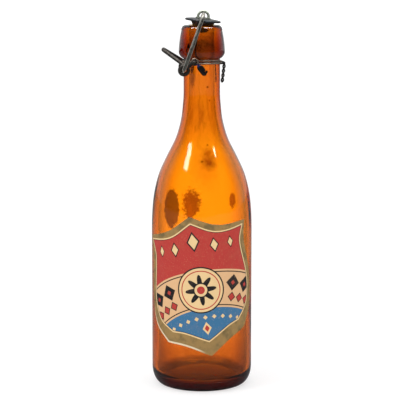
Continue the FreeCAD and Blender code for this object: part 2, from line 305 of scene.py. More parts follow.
def outside_profile():
    """The outer wall, from the top of the lip down and under to the centre of the base."""
    round_r = LIP_R - LIP_TAPER
    round_z = LIP_TOP - ROUND_H
    belly_z = LIP_BOTTOM + BELLY_H
    kick_r = FOOT_R - FOOT_LAND
    side_middle = (LIP_R - LIP_SIDE * LIP_TAPER, (belly_z + round_z) / 2)
    under_middle = (NECK_R + UNDER_LIP_OUT * (LIP_R - NECK_R), LIP_BOTTOM + UNDER_LIP_UP * BELLY_H)
    p = [(LIP_LAND_R, LIP_TOP)]
    p += arc_points(p[-1], lip_top_middle(round_r), (round_r, round_z), count=8)
    p += arc_points(p[-1], side_middle, (LIP_R, belly_z), count=12)
    p += arc_points(p[-1], under_middle, (NECK_R, LIP_BOTTOM), count=8)
    p += straight(p[-1], (NECK_R, NECK_BOTTOM), count=8)
    p += shoulder_points(BODY_R, NECK_R, count=48)[-2::-1]
    p += [(BODY_R, BODY_TOP)]
    p += straight(p[-1], (BODY_R, HEEL_H), count=20)
    p += heel_points(count=10)
    p += [(kick_r, 0.0)]
    p += arc_points(p[-1], (kick_r / 2, KICK_HALFWAY * KICK_H), (0.0, KICK_H), count=12)
    return p


# The glass

def blown_glass():
    """The glass, spun from its section, with the uneven inner wall of a mould-blown bottle."""
    inside = inside_profile()
    piece = trace("blown_glass", inside + outside_profile())
    edit(piece)
    bpy.ops.mesh.spin(steps=LATHE_STEPS, angle=2 * math.pi, center=(0, 0, 0), axis=(0, 0, 1))
    bpy.ops.mesh.select_all(action="SELECT")
    bpy.ops.mesh.remove_doubles(threshold=WELD)
    bpy.ops.mesh.normals_make_consistent(inside=False)
    done()
    mark_inner_wall(piece, inside)
    make_uneven(piece)
    smooth(piece)
    return piece


def mark_inner_wall(piece, profile):
    """Mark with 1 each vertex that lies on the inner wall's profile, and the others with 0."""
    places = {(round(out, 2), round(up, 2)) for out, up in profile}

    def is_inside(vertex):
        out = math.hypot(vertex.co.x, vertex.co.y) / MM
        return 1.0 if (round(out, 2), round(vertex.co.z / MM, 2)) in places else 0.0

    mark(piece, "inside", is_inside)


def make_uneven(piece):
    """Push the inner wall in and out in long waves that fade out at the floor and under the lip."""
    marks = piece.data.attributes["inside"].data
    for vertex, each in zip(piece.data.vertices, marks):
        x, y, height = (value / MM for value in vertex.co)
        low_fade = min(max((height - FLOOR_T - CORNER_R) / UNEVEN_LOW_FADE, 0), 1)
        top_fade = min(max((LIP_BOTTOM - height) / UNEVEN_TOP_FADE, 0), 1)
        if each.value < 0.5 or low_fade * top_fade == 0:
            continue
        place = Vector((x * UNEVEN_ACROSS, y * UNEVEN_ACROSS, height * UNEVEN_UP))
        push = UNEVEN * MM * low_fade * top_fade * noise.noise(place)
        radius = math.hypot(vertex.co.x, vertex.co.y)
        vertex.co.x += vertex.co.x / radius * push
        vertex.co.y += vertex.co.y / radius * push


# The label

def label_loop(name, sides, ragged, ring):
    """One closed loop of the label, from its top point clockwise, marked with its ring."""
    half = []
    for side, count in zip(sides, LABEL_COUNTS):
        half += smooth_edge(side, count)
    loop = []
    for x, z in half + [sides[-1][-1]] + [(-x, z) for x, z in half[:0:-1]]:
        push_across = ragged * noise.noise(Vector((x, z, RAGGED_ACROSS)))
        push_up = ragged * noise.noise(Vector((x, z, RAGGED_UP)))
        loop.append((x + push_across, z + push_up))
    piece = trace(name, loop + loop[:1])
    edit(piece)
    bpy.ops.mesh.remove_doubles(threshold=WELD)
    done()
    mark(piece, "edge", lambda vertex: ring)
    return piece


def flat_label():
    """The label drawn flat: its paper, the shield in it and the two lines along the shield's edge."""
    piece = label_loop("printed_label", PAPER, LABEL_RAGGED, PAPER_RING)
    shield = label_loop("shield_line", SHIELD, 0.0, SHIELD_RING)
    pick_only(piece)
    shield.select_set(True)
    bpy.ops.object.join()
    edit(piece)
    bpy.ops.mesh.bridge_edge_loops()
    done()
    rings = piece.data.attributes["edge"].data
    for vertex in piece.data.vertices:
        vertex.select = rings[vertex.index].value == SHIELD_RING
    for each in list(piece.data.edges) + list(piece.data.polygons):
        each.select = False
    edit(piece, select_all=False)
    bpy.ops.mesh.edge_face_add()
    for ring, width in ((CREAM_RING, CREAM_LINE), (KEY_RING, KEY_LINE)):
        bpy.ops.mesh.inset(thickness=width * MM)
        done()
        mark(piece, "edge", lambda vertex: ring if vertex.select else None)
        edit(piece, select_all=False)
    done()
    return piece


def cut_in_strips(piece):
    """Cut the flat label in narrow strips, upright on the bottle, so that it can bend round the glass."""
    across = (math.cos(LABEL_TILT), 0, -math.sin(LABEL_TILT))
    cuts = int(LABEL_SPAN / 2 / LABEL_CUT)
    edit(piece)
    for i in range(-cuts, cuts + 1):
        bpy.ops.mesh.select_all(action="SELECT")
        bpy.ops.mesh.bisect(plane_co=Vector(across) * i * LABEL_CUT * MM, plane_no=across)
    done()


def keep_flat_places(piece):
    """Keep the flat label's places as a UV map that the print is drawn on."""
    flat = piece.data.uv_layers.new(name="flat")
    for loop in piece.data.loops:
        spot = piece.data.vertices[loop.vertex_index].co / MM
        flat.data[loop.index].uv = (spot.x / LABEL_SPAN + 0.5, (spot.z - LABEL_TOP) / LABEL_SPAN + 1)


def wrap_on_glass(piece):
    """Tilt the flat label and bend it round the body."""
    for vertex in piece.data.vertices:
        x, z = vertex.co.x / MM, vertex.co.z / MM
        angle = (LABEL_ARC + x * math.cos(LABEL_TILT) - z * math.sin(LABEL_TILT)) / BODY_R
        height = LABEL_Z + x * math.sin(LABEL_TILT) + z * math.cos(LABEL_TILT)
        vertex.co = Vector((LABEL_R * math.sin(angle), -LABEL_R * math.cos(angle), height)) * MM


def face_outwards(piece):
    """Turn all faces to one side, and then to the front."""
    edit(piece)
    bpy.ops.mesh.normals_make_consistent(inside=False)
    done()
    front = min(piece.data.polygons, key=lambda face: face.center.y)
    if front.normal.y > 0:
        edit(piece)
        bpy.ops.mesh.flip_normals()
        done()


def paper_label():
    """The label's paper: drawn flat, cut in strips, wrapped on the glass and given its thickness."""
    piece = flat_label()
    cut_in_strips(piece)
    keep_flat_places(piece)
    wrap_on_glass(piece)
    face_outwards(piece)
    thickness = piece.modifiers.new("paper", "SOLIDIFY")
    thickness.thickness = LABEL_T * MM
    thickness.offset = 1.0
    pick_only(piece)
    bpy.ops.object.modifier_apply(modifier="paper")
    smooth(piece)
    return piece


# The tie wire's end

def folded_tail():
    """The tie wire's flattened end: a small leaf over the V."""
    piece = trace("folded_tail", TAIL + TAIL[:1])
    edit(piece)
    bpy.ops.mesh.remove_doubles(threshold=WELD)
    bpy.ops.mesh.select_all(action="SELECT")
    bpy.ops.mesh.edge_face_add()
    bpy.ops.mesh.extrude_region_move(TRANSFORM_OT_translate={"value": (0, TAIL_T * MM, 0)})
    bpy.ops.mesh.select_all(action="SELECT")
    bpy.ops.mesh.normals_make_consistent(inside=False)
    bpy.ops.transform.translate(value=(0, (TAIL_Y - 0.5 * TAIL_T) * MM, 0))
    bpy.ops.mesh.bevel(offset=TAIL_ROUND * MM, segments=3, affect="EDGES")
    done()
    smooth(piece)
    return piece


# Nodes and shared effects

class Nodes:
    """A short way to place and join the nodes of one shader tree."""

    # The places of a Mix node's colour sockets
    COLOUR_A, COLOUR_B, COLOUR_OUT = 6, 7, 2

    def __init__(self, tree):
        self.tree = tree

    def add(self, kind, **values):
        node = self.tree.nodes.new(kind)
        for key, value in values.items():
            setattr(node, key, value)
        return node

    def set(self, socket, value):
        """Join another node's socket to this one, or give it a fixed value."""
        if isinstance(value, bpy.types.NodeSocket):
            self.tree.links.new(value, socket)
        elif value is not None:
            socket.default_value = value

    def math(self, operation, a, b=None, c=None):
        node = self.add("ShaderNodeMath", operation=operation)
        for socket, value in zip(node.inputs, (a, b, c)):
            self.set(socket, value)
        return node.outputs[0]

    def vector(self, operation, a, b=None):
        """A sum on vectors. LENGTH gives a number and the others a vector."""
        node = self.add("ShaderNodeVectorMath", operation=operation)
        self.set(node.inputs[0], a)
        self.set(node.inputs[1], b)
        return node.outputs["Value" if operation == "LENGTH" else "Vector"]

    def parts(self, vector):
        """The vector's sockets, by their names X, Y and Z."""
        node = self.add("ShaderNodeSeparateXYZ")
        self.set(node.inputs[0], vector)
        return node.outputs

    def reach(self, across, up):
        """How far a place is from the centre that both are measured from."""
        squares = self.math("ADD", self.math("MULTIPLY", across, across), self.math("MULTIPLY", up, up))
        return self.math("SQRT", squares)

    def mix(self, share, a, b, blend="MIX"):
        node = self.add("ShaderNodeMix", data_type="RGBA", blend_type=blend)
        self.set(node.inputs["Factor"], share)
        self.set(node.inputs[self.COLOUR_A], a)
        self.set(node.inputs[self.COLOUR_B], b)
        return node.outputs[self.COLOUR_OUT]

    def noise(self, vector, scale, detail, roughness):
        node = self.add("ShaderNodeTexNoise")
        self.set(node.inputs["Vector"], vector)
        self.set(node.inputs["Scale"], scale)
        self.set(node.inputs["Detail"], detail)
        self.set(node.inputs["Roughness"], roughness)
        return node.outputs["Fac"]

    def ramp(self, value, low, high):
        """0 below low, 1 above high, smooth between."""
        node = self.add("ShaderNodeMapRange", interpolation_type="SMOOTHSTEP")
        self.set(node.inputs["Value"], value)
        self.set(node.inputs["From Min"], low)
        self.set(node.inputs["From Max"], high)
        return node.outputs["Result"]

    def flip(self, mask):
        """0 where the mask is 1, 1 where it is 0."""
        return self.math("SUBTRACT", 1.0, mask)

    def below(self, value, limit, soft=0.06):
        """1 where the value is under the limit, 0 over it."""
        return self.flip(self.ramp(value, limit - soft, limit + soft))

    def between(self, value, low, high, soft=0.06):
        return self.both(self.ramp(value, low - soft, low + soft), self.below(value, high, soft))

    def both(self, mask, *others):
        """1 where each mask is 1."""
        for other in others:
            mask = self.math("MULTIPLY", mask, other)
        return mask

    def bump(self, height, strength, distance):
        node = self.add("ShaderNodeBump")
        self.set(node.inputs["Strength"], strength)
        self.set(node.inputs["Distance"], distance)
        self.set(node.inputs["Height"], height)
        return node.outputs["Normal"]

    def facing(self, low, high):
        """0 where the surface faces the eye, 1 where it turns away."""
        return self.ramp(self.add("ShaderNodeLayerWeight").outputs["Facing"], low, high)

    def mirrored(self):
        """1 for what a glossy surface mirrors, 0 for what is seen directly or through glass."""
        path = self.add("ShaderNodeLightPath").outputs
        return self.both(path["Is Glossy Ray"], path["Is Reflection Ray"])

    def effect(self, tree, **values):
        """Place a shared effect with its own values."""
        node = self.add("ShaderNodeGroup", node_tree=tree)
        for key, value in values.items():
            self.set(node.inputs[key.capitalize()], value)
        return node.outputs[0]


class Finish(Nodes):
    """A material with its nodes, its surface shader and the place on the object that its patterns read."""

    def __init__(self, name):
        self.material = bpy.data.materials.new(name)
        self.material.use_nodes = True
        super().__init__(self.material.node_tree)
        self.shader = self.tree.nodes["Principled BSDF"]
        self.place = self.add("ShaderNodeTexCoord").outputs["Object"]

    def surface(self, values):
        """Give the shader's sockets, by their names, a node's output or a fixed value."""
        for name, value in values.items():
            self.set(self.shader.inputs[name], value)


def new_effect(name, inputs, output):
    """A shared effect: its node group, its nodes, its entry's sockets and its exit socket."""
    tree = bpy.data.node_groups.new(name, "ShaderNodeTree")
    for label, kind in inputs:
        tree.interface.new_socket(label, in_out="INPUT", socket_type="NodeSocket" + kind)
    tree.interface.new_socket(output, in_out="OUTPUT", socket_type="NodeSocketFloat")
    n = Nodes(tree)
    entry = n.add("NodeGroupInput").outputs
    leave = n.add("NodeGroupOutput").inputs[0]
    return tree, n, entry, leave


def blotches_effect():
    """Patches of age: 0 outside, 1 inside, with a soft edge."""
    tree, n, entry, leave = new_effect(
        "age_blotches",
        [("Vector", "Vector"), ("Scale", "Float"), ("Level", "Float"), ("Softness", "Float")],
        "Mask",
    )
    cloud = n.noise(entry["Vector"], entry["Scale"], detail=4.0, roughness=0.62)
    n.set(leave, n.ramp(cloud, entry["Level"], n.math("ADD", entry["Level"], entry["Softness"])))
    return tree


def grain_effect():
    """A fine rough grain for a surface's height."""
    tree, n, entry, leave = new_effect("fine_grain", [("Vector", "Vector"), ("Scale", "Float")], "Height")
    coarse = n.noise(entry["Vector"], entry["Scale"], detail=3.0, roughness=0.6)
    finer = n.math("MULTIPLY", entry["Scale"], 3.7)
    fine = n.noise(entry["Vector"], finer, detail=2.0, roughness=0.5)
    n.set(leave, n.math("MULTIPLY_ADD", fine, 0.4, coarse))
    return tree


def spot_effect():
    """One round or oval spot with a ragged edge."""
    tree, n, entry, leave = new_effect(
        "ragged_spot",
        [("Vector", "Vector"), ("Centre", "Vector"), ("Size", "Vector"), ("Raggedness", "Float"),
         ("Softness", "Float")],
        "Mask",
    )
    away = n.vector("DIVIDE", n.vector("SUBTRACT", entry["Vector"], entry["Centre"]), entry["Size"])
    wobble = n.math("SUBTRACT", n.noise(entry["Vector"], 420.0, detail=3.0, roughness=0.6), 0.5)
    twice = n.math("MULTIPLY", entry["Raggedness"], 2.0)
    ragged = n.math("MULTIPLY_ADD", wobble, twice, n.vector("LENGTH", away))
    n.set(leave, n.flip(n.ramp(ragged, n.flip(entry["Softness"]), 1.0)))
    return tree


AGE_BLOTCHES = blotches_effect()
FINE_GRAIN = grain_effect()
RAGGED_SPOT = spot_effect()


def srgb(red, green, blue):
    """A colour as a picture gives it, made linear for a shader."""
    def linear(v):
        v /= 255
        return v / 12.92 if v <= 0.04045 else ((v + 0.055) / 1.055) ** 2.4
    return (linear(red), linear(green), linear(blue), 1.0)


# The glass's finish: clear glass with film and dirt, and painted shade at its rims, low in its body, at its
# base and under its lip, as tints on its surface, round an amber volume

# A start is the heights in metres where a band begins and where it is full. An end is the height of the
# middle of its soft edge, and half that edge's width. A skin is outside and a film on the inner wall.
CLEAR = (1, 1, 1, 1)
NECK_START = (0.150, 0.185)
NECK_SKIN = (0.74, 0.80, 1.0, 1)
NECK_FILM_PALE = (0.88, 0.74, 0.80, 1)
NECK_FILM_DARK = (0.38, 0.22, 0.18, 1)
# Painted shade that darkens the body low down, and more, in patches, near the bottom
LOW_END = (0.070, 0.045)
LOW_SKIN_SHADE = (0.74, 0.66, 0.80, 1)
LOW_FILM_SHADE = (0.92, 0.74, 0.62, 1)
LOW_SHADE_END = (0.026, 0.020)
LOW_PAINTED_SHADE = (0.36, 0.24, 0.20, 1)
# Painted shade that makes the base nearly black, on the floor of the glass and under the foot
BASE_SHADE_END = (0.0105, 0.002)
BASE_PAINTED_SHADE = (0.20, 0.12, 0.10, 1)
FOOT_END = (0.0075, 0.004)
FOOT_PAINTED_SHADE = (0.12, 0.26, 0.50, 1)
LIP_START = (0.214, 0.220)
LIP_END = (0.2365, 0.005)
LIP_CLOUD = (0.20, 0.24, 0.40, 1)
# Painted shade and dirt in the groove under the lip
UNDER_LIP_START = (0.2165, 0.2180)
UNDER_LIP_END = (0.2243, 0.0022)
UNDER_LIP_SHADE_AND_DIRT = (0.10, 0.08, 0.07, 1)
UNDER_LIP_SHARE = 0.92
LIP_SKIN_START = (0.2205, 0.2225)
LIP_SKIN_RISE = (0.226, 0.237)
LIP_SKIN_LOW = (0.22, 0.50, 0.80, 1)
LIP_SKIN_HIGH = (0.46, 0.92, 1.0, 1)
# Painted shade at the glass's rims
RIM_PAINTED_SHADE = (0.22, 0.40, 1.0, 1)
AMBER = (0.966, 0.765, 0.0, 1)
AMBER_DENSITY = 1000.0

# How far the neck's streaks and the glass's waves are drawn out upwards: less is longer
STREAKS_DRAWN = (1.0, 1.0, 0.09)
WAVES_DRAWN = (1.0, 1.0, 0.45)

# Stains on the inner wall in millimetres: centre, size each way, raggedness, softness and their tint
STAINS = [
    ((-19.0, -22.4, 123.0), (5.6, 12, 14.5), 0.25, 0.20, (0.055, 0.035, 0.09, 1)),
    ((-6.7, -28.3, 127.0), (7.5, 10, 12.0), 0.55, 0.45, (0.13, 0.045, 0.05, 1)),
    ((-7.4, -28.3, 119.5), (1.9, 10, 9.0), 0.35, 0.35, (0.17, 0.055, 0.05, 1)),
    ((-5.3, -28.0, 129.2), (2.2, 10, 2.8), 0.35, 0.40, (0.12, 0.04, 0.03, 1)),
    ((19.2, -21.4, 128.0), (2.5, 12, 6.0), 0.45, 0.40, (0.16, 0.07, 0.08, 1)),
    ((-5.4, -6.6, 208.0), (2.6, 5, 10.0), 0.60, 0.70, (0.16, 0.12, 0.20, 1)),
    ((2.0, -22.0, 151.0), (13, 18, 22.0), 0.30, 1.00, (0.66, 0.50, 0.60, 1)),
    ((4.7, -20.3, 152.8), (7.6, 10, 7.6), 0.30, 0.95, (0.10, 0.03, 0.02, 1)),
    ((4.0, -19.0, 158.5), (6.2, 10, 6.2), 0.30, 0.95, (0.24, 0.10, 0.06, 1)),
    ((3.3, -7.8, 201.5), (0.75, 3, 0.75), 0.20, 0.40, (0.03, 0.005, 0.005, 1)),
    ((4.5, -7.6, 192.5), (0.55, 3, 0.60), 0.20, 0.40, (0.12, 0.03, 0.02, 1)),
    ((3.4, -15.1, 163.5), (0.70, 4, 0.60), 0.20, 0.40, (0.10, 0.02, 0.01, 1)),
    ((0.1, -20.6, 153.2), (0.75, 4, 0.75), 0.20, 0.40, (0.03, 0.01, 0.01, 1)),
]


def film_and_low_shade(n, z, inside):
    """The streaked film of the shoulder and neck, and the painted shade that darkens the body low down, in
    patches near the bottom and on the floor of the glass.
    """
    drawn = n.vector("MULTIPLY", n.place, STREAKS_DRAWN)
    streak = n.effect(AGE_BLOTCHES, vector=drawn, scale=260.0, level=0.48, softness=0.24)
    neck_film = n.mix(streak, NECK_FILM_PALE, NECK_FILM_DARK)
    colour = n.mix(n.ramp(z, *NECK_START), CLEAR, n.mix(inside, NECK_SKIN, neck_film))
    # Painted shade: the lower body is tinted darker, outside and on the inner wall.
    colour = n.mix(n.below(z, *LOW_END), colour, n.mix(inside, LOW_SKIN_SHADE, LOW_FILM_SHADE))
    # Painted shade in patches darkens the inner wall near the bottom.
    cloud = n.effect(AGE_BLOTCHES, vector=n.place, scale=70.0, level=0.38, softness=0.35)
    patchy = n.math("MULTIPLY_ADD", cloud, 0.4, 0.6)
    colour = n.mix(n.both(n.below(z, *LOW_SHADE_END), patchy, inside), colour, LOW_PAINTED_SHADE)
    # Painted shade darkens the floor of the glass.
    return n.mix(n.both(n.below(z, *BASE_SHADE_END), inside), colour, BASE_PAINTED_SHADE)


def lip_film_and_shade(n, colour, z, inside, outside):
    """The cloud in the lip, the painted shade and dirt in the groove under it, and the lip's redder skin."""
    in_lip = n.both(n.ramp(z, *LIP_START), n.below(z, *LIP_END))
    cloud = n.effect(AGE_BLOTCHES, vector=n.place, scale=130.0, level=0.34, softness=0.34)
    colour = n.mix(n.both(in_lip, inside, cloud), colour, LIP_CLOUD)
    # Painted shade, with some dirt, darkens the outside just under the lip.
    under_lip = n.both(n.ramp(z, *UNDER_LIP_START), n.below(z, *UNDER_LIP_END), outside)
    colour = n.mix(n.math("MULTIPLY", under_lip, UNDER_LIP_SHARE), colour, UNDER_LIP_SHADE_AND_DIRT)
    skin = n.mix(n.ramp(z, *LIP_SKIN_RISE), LIP_SKIN_LOW, LIP_SKIN_HIGH)
    return n.mix(n.both(n.ramp(z, *LIP_SKIN_START), outside), colour, skin)


def stains_and_painted_shade(n):
    """Clear glass, with the brown residue on its inner wall, the dirt on its outside, and painted shade low
    in the body, at the foot and under the lip.
    """
    marked = n.add("ShaderNodeAttribute", attribute_name="inside").outputs["Fac"]
    inside = n.ramp(marked, 0.4, 0.6)
    outside = n.flip(inside)
    z = n.parts(n.place)["Z"]
    colour = film_and_low_shade(n, z, inside)
    # Painted shade darkens the outside of the foot.
    colour = n.mix(n.both(n.below(z, *FOOT_END), outside), colour, FOOT_PAINTED_SHADE)
    colour = lip_film_and_shade(n, colour, z, inside, outside)
    for centre, size, raggedness, softness, tint in STAINS:
        spot = n.effect(
            RAGGED_SPOT, vector=n.place, centre=[v * MM for v in centre],
            size=[v * MM for v in size], raggedness=raggedness, softness=softness,
        )
        colour = n.mix(n.both(spot, inside), colour, tint)
    return colour


def amber_glass():
    """Clear glass with stains, round a volume that takes the blue out of the light, with painted shade that
    makes it darker at the rims.
    """
    n = Finish("amber_blown_glass")
    # Painted shade: the glass is tinted darker and less orange where its surface turns away from the eye.
    rim_shade = n.mix(n.facing(0.12, 0.80), CLEAR, RIM_PAINTED_SHADE)
    smear = n.effect(AGE_BLOTCHES, vector=n.place, scale=60.0, level=0.45, softness=0.3)
    wave = n.noise(n.vector("MULTIPLY", n.place, WAVES_DRAWN), 46.0, detail=2.0, roughness=0.4)
    n.surface({
        "Base Color": n.mix(1.0, stains_and_painted_shade(n), rim_shade, blend="MULTIPLY"),
        "Roughness": n.math("MULTIPLY_ADD", smear, 0.03, 0.01),
        "Transmission Weight": 1.0,
        "IOR": 1.5,
        "Normal": n.bump(wave, strength=0.4, distance=0.0007),
    })
    absorb = n.add("ShaderNodeVolumeAbsorption")
    n.set(absorb.inputs["Color"], AMBER)
    n.set(absorb.inputs["Density"], AMBER_DENSITY)
    n.set(n.tree.nodes["Material Output"].inputs["Volume"], absorb.outputs["Volume"])
    return n.material


# Metal and rubber

# Where the tie wire is black, and where a blue glint is painted on it, in metres: its V's end, its twist's
# start, and the glint's spot
BLACK_V_END = (0.2165, 0.0008)
TWIST_START = (0.0128, 0.0136)
GLINT_CENTRE = (-0.0026, -0.0135, 0.2160)
GLINT_SIZE = (0.0018, 0.004, 0.0013)


def old_wire(name, bright, dark, roughness, level=0.45, wear_and_sheen=None):
    """Dull old wire: bare metal with dark oxide patches, a rough skin and its own marks, painted glint and
    sheen among them.
    """
    n = Finish(name)
    blotch = n.effect(AGE_BLOTCHES, vector=n.place, scale=420.0, level=level, softness=0.2)
    grain = n.effect(FINE_GRAIN, vector=n.place, scale=1400.0)
    colour = n.mix(blotch, bright, dark)
    n.surface({
        "Base Color": wear_and_sheen(n, colour) if wear_and_sheen else colour,
        "Metallic": 0.85,
        "Roughness": n.math("MULTIPLY_ADD", grain, 0.2, roughness),
        "Normal": n.bump(grain, strength=0.35, distance=0.00012),
    })
    return n.material


def black_ends_and_glint(n, colour):
    """The tie wire's V and twist are black, and a blue glint is painted at the bend of the V."""
    place = n.parts(n.place)
    black = n.math("MAXIMUM", n.below(place["Z"], *BLACK_V_END), n.ramp(place["X"], *TWIST_START))
    colour = n.mix(black, colour, srgb(34, 29, 28))
    # A painted blue glint at the bend of the V.
    painted_glint = n.effect(
        RAGGED_SPOT, vector=n.place, centre=GLINT_CENTRE, size=GLINT_SIZE, raggedness=0.2, softness=0.3)
    return n.mix(painted_glint, colour, srgb(42, 62, 120))


def painted_edge_sheen(n, colour):
    """The bail is dark along its middle, with a pale sheen painted along its edges."""
    # Painted sheen: pale where the wire turns away from the eye.
    return n.mix(n.facing(0.22, 0.50), colour, srgb(176, 172, 162))


def rubber():
    n = Finish("aged_black_rubber")
    crack = n.effect(AGE_BLOTCHES, vector=n.place, scale=500.0, level=0.5, softness=0.15)
    grain = n.effect(FINE_GRAIN, vector=n.place, scale=1500.0)
    n.surface({
        "Base Color": n.mix(crack, srgb(26, 22, 21), srgb(62, 50, 44)),
        "Roughness": 0.55,
        "Normal": n.bump(grain, strength=0.4, distance=0.0002),
    })
    return n.material


def dark_disc():
    n = Finish("dark_skinned_disc")
    blotch = n.effect(AGE_BLOTCHES, vector=n.place, scale=300.0, level=0.42, softness=0.25)
    grain = n.effect(FINE_GRAIN, vector=n.place, scale=900.0)
    n.surface({
        "Base Color": n.mix(blotch, srgb(36, 44, 50), srgb(54, 48, 46)),
        "Metallic": 0.6,
        "Roughness": 0.34,
        "Normal": n.bump(grain, strength=0.25, distance=0.0002),
    })
    return n.material


# The label's print: a shield of red, cream and blue fields with a medallion and rows of lozenges

RED = srgb(162, 40, 32)
CREAM = srgb(194, 154, 112)
BLUE = srgb(40, 96, 134)
INK = srgb(20, 18, 22)
LINE = srgb(202, 172, 124)
GOLD = srgb(134, 106, 58)
OLD_GOLD = srgb(102, 84, 46)
FOXED_GOLD = srgb(78, 60, 34)
PALE_PAPER = srgb(192, 176, 148)
SHADED_PAPER = srgb(150, 110, 70)
BARE_BACK = srgb(176, 150, 112)

# Fields and ink lines on the flat label in millimetres, as radii round one centre below it
ARC_CENTRE = -112.0
RED_ARC = 80.0
BLUE_ARC = 54.5
ARC_LINES = ((RED_ARC - 1.9, RED_ARC - 1.2), (BLUE_ARC + 1.2, BLUE_ARC + 1.9))

# Rows of lozenges along such arcs: radius, step in degrees, half width and half height
BIG_ROW = {"arc": 71.0, "step": 9.4, "width": 5.4, "height": 5.6}
SMALL_ROW = {"arc": 61.5, "step": 6.4, "width": 3.1, "height": 3.4}
DOT_ROW = {"arc": 48.5, "step": 7.0, "width": 1.5, "height": 1.5}
DOT_ROW_END = math.radians(31.0)

# The ink rows, with where they stop beside the medallion in degrees, and the size of their red hearts
INK_ROWS = ((BIG_ROW, (14.0, 14.2), 0.30), (SMALL_ROW, (15.9, 16.1), 0.76))

# Single lozenges: place across and up, half width and half height. Those on red have an ink edge.
RED_FIELD_LOZENGES = ((0, -12.5, 3.6, 5.6), (13.5, -16.5, 2.6, 4.2), (25.0, -17.0, 2.0, 3.4))
INK_EDGE = 1.22
CREAM_EDGE = 0.92
FOOT_LOZENGE_UP = -71.0
FOOT_LOZENGE = {"width": 3.0, "height": 4.4}
FOOT_HEART = 0.55

# The medallion's height, the radii of its rings from the outside in, and its star
MEDAL_UP = -45.0
MEDAL_INK_R = 15.6
MEDAL_CREAM_R = 14.7
MEDAL_RED_RING = (12.4, 13.1)
STAR_LOW_R = 5.0
STAR_RAY = 5.4
STAR_WAVES = 4.0
STAR_SHARPNESS = 2.2
EYE_CREAM_R = 4.2
EYE_RED_R = 2.6

# Where the paper's edge is torn: the middle of each soft limit and half its width
TORN_LEFT_OF = (-6.0, 4.0)
TORN_BELOW = (-58.0, 6.0)
TORN_RIM = (0.15, 0.015)


def lozenge(n, across, up, width, height):
    """How far out of a lozenge a place is: 1 on its edge."""
    sideways = n.math("DIVIDE", n.math("ABSOLUTE", across), width)
    return n.math("ADD", sideways, n.math("DIVIDE", n.math("ABSOLUTE", up), height))


def lozenge_row(n, turn, out, arc, step, width, height):
    """The same, for lozenges repeated along an arc of the given radius, one each step in degrees."""
    pace = math.radians(step)
    cell = n.math("FRACT", n.math("ADD", n.math("DIVIDE", turn, pace), 0.5))
    along = n.math("MULTIPLY", n.math("SUBTRACT", cell, 0.5), pace * arc)
    return lozenge(n, along, n.math("SUBTRACT", out, arc), width, height)


def cream_band(n, colour, turn, out):
    """The two rows of ink lozenges with red hearts, big above small, that stop short of the medallion."""
    side = n.math("ABSOLUTE", turn)
    for row, (stop, full), heart in INK_ROWS:
        shape = lozenge_row(n, turn, out, **row)
        clear = n.ramp(side, math.radians(stop), math.radians(full))
        colour = n.mix(n.both(n.below(shape, 1.0, 0.02), clear), colour, INK)
        colour = n.mix(n.both(n.below(shape, heart, 0.02), clear), colour, RED)
    return colour


def red_field(n, colour, across, up):
    """The cream lozenges with ink edges in the red field."""
    for place_across, place_up, width, height in RED_FIELD_LOZENGES:
        from_side = n.math("SUBTRACT", n.math("ABSOLUTE", across), place_across)
        shape = lozenge(n, from_side, n.math("SUBTRACT", up, place_up), width, height)
        colour = n.mix(n.below(shape, INK_EDGE, 0.03), colour, INK)
        colour = n.mix(n.below(shape, CREAM_EDGE, 0.03), colour, LINE)
    return colour


def blue_field(n, colour, across, up, turn, out):
    """The row of small cream dots in the blue field, and the lozenge at its foot."""
    dots = lozenge_row(n, turn, out, **DOT_ROW)
    in_row = n.below(n.math("ABSOLUTE", turn), DOT_ROW_END, 0.01)
    colour = n.mix(n.both(n.below(dots, 1.0, 0.05), in_row), colour, LINE)
    foot = lozenge(n, across, n.math("SUBTRACT", up, FOOT_LOZENGE_UP), **FOOT_LOZENGE)
    colour = n.mix(n.below(foot, 1.0, 0.03), colour, LINE)
    return n.mix(n.below(foot, FOOT_HEART, 0.03), colour, RED)


def medallion(n, colour, across, up):
    """The round medallion: a cream disc with a red ring and an eight-rayed star."""
    rise = n.math("SUBTRACT", up, MEDAL_UP)
    out = n.reach(across, rise)
    wave = n.math("COSINE", n.math("MULTIPLY", n.math("ARCTAN2", across, rise), STAR_WAVES))
    ray = n.math("POWER", n.math("ABSOLUTE", wave), STAR_SHARPNESS)
    star_r = n.math("MULTIPLY_ADD", ray, STAR_RAY, STAR_LOW_R)
    colour = n.mix(n.below(out, MEDAL_INK_R), colour, INK)
    colour = n.mix(n.below(out, MEDAL_CREAM_R), colour, LINE)
    colour = n.mix(n.between(out, *MEDAL_RED_RING), colour, RED)
    colour = n.mix(n.below(n.math("SUBTRACT", out, star_r), 0.0), colour, INK)
    colour = n.mix(n.below(out, EYE_CREAM_R), colour, LINE)
    return n.mix(n.below(out, EYE_RED_R), colour, RED)


def printed_fields(n, across, up):
    """The colours inside the keyline."""
    rise = n.math("SUBTRACT", up, ARC_CENTRE)
    out = n.reach(across, rise)
    turn = n.math("ARCTAN2", across, rise)
    colour = n.mix(n.below(out, BLUE_ARC), n.mix(n.below(out, RED_ARC), RED, CREAM), BLUE)
    for low, high in ARC_LINES:
        colour = n.mix(n.between(out, low, high), colour, INK)
    colour = cream_band(n, colour, turn, out)
    colour = red_field(n, colour, across, up)
    colour = blue_field(n, colour, across, up, turn, out)
    return medallion(n, colour, across, up)


def gold_border(n, across, up, edge):
    """The tarnished and foxed gold round the shield, with its torn edge at the lower left."""
    tarnish = n.effect(AGE_BLOTCHES, vector=n.place, scale=170.0, level=0.40, softness=0.28)
    gold = n.mix(tarnish, GOLD, OLD_GOLD)
    foxing = n.effect(AGE_BLOTCHES, vector=n.place, scale=330.0, level=0.63, softness=0.07)
    gold = n.mix(n.math("MULTIPLY", foxing, 0.75), gold, FOXED_GOLD)
    torn = n.both(n.below(edge, *TORN_RIM), n.below(across, *TORN_LEFT_OF), n.below(up, *TORN_BELOW))
    return n.mix(torn, gold, PALE_PAPER)


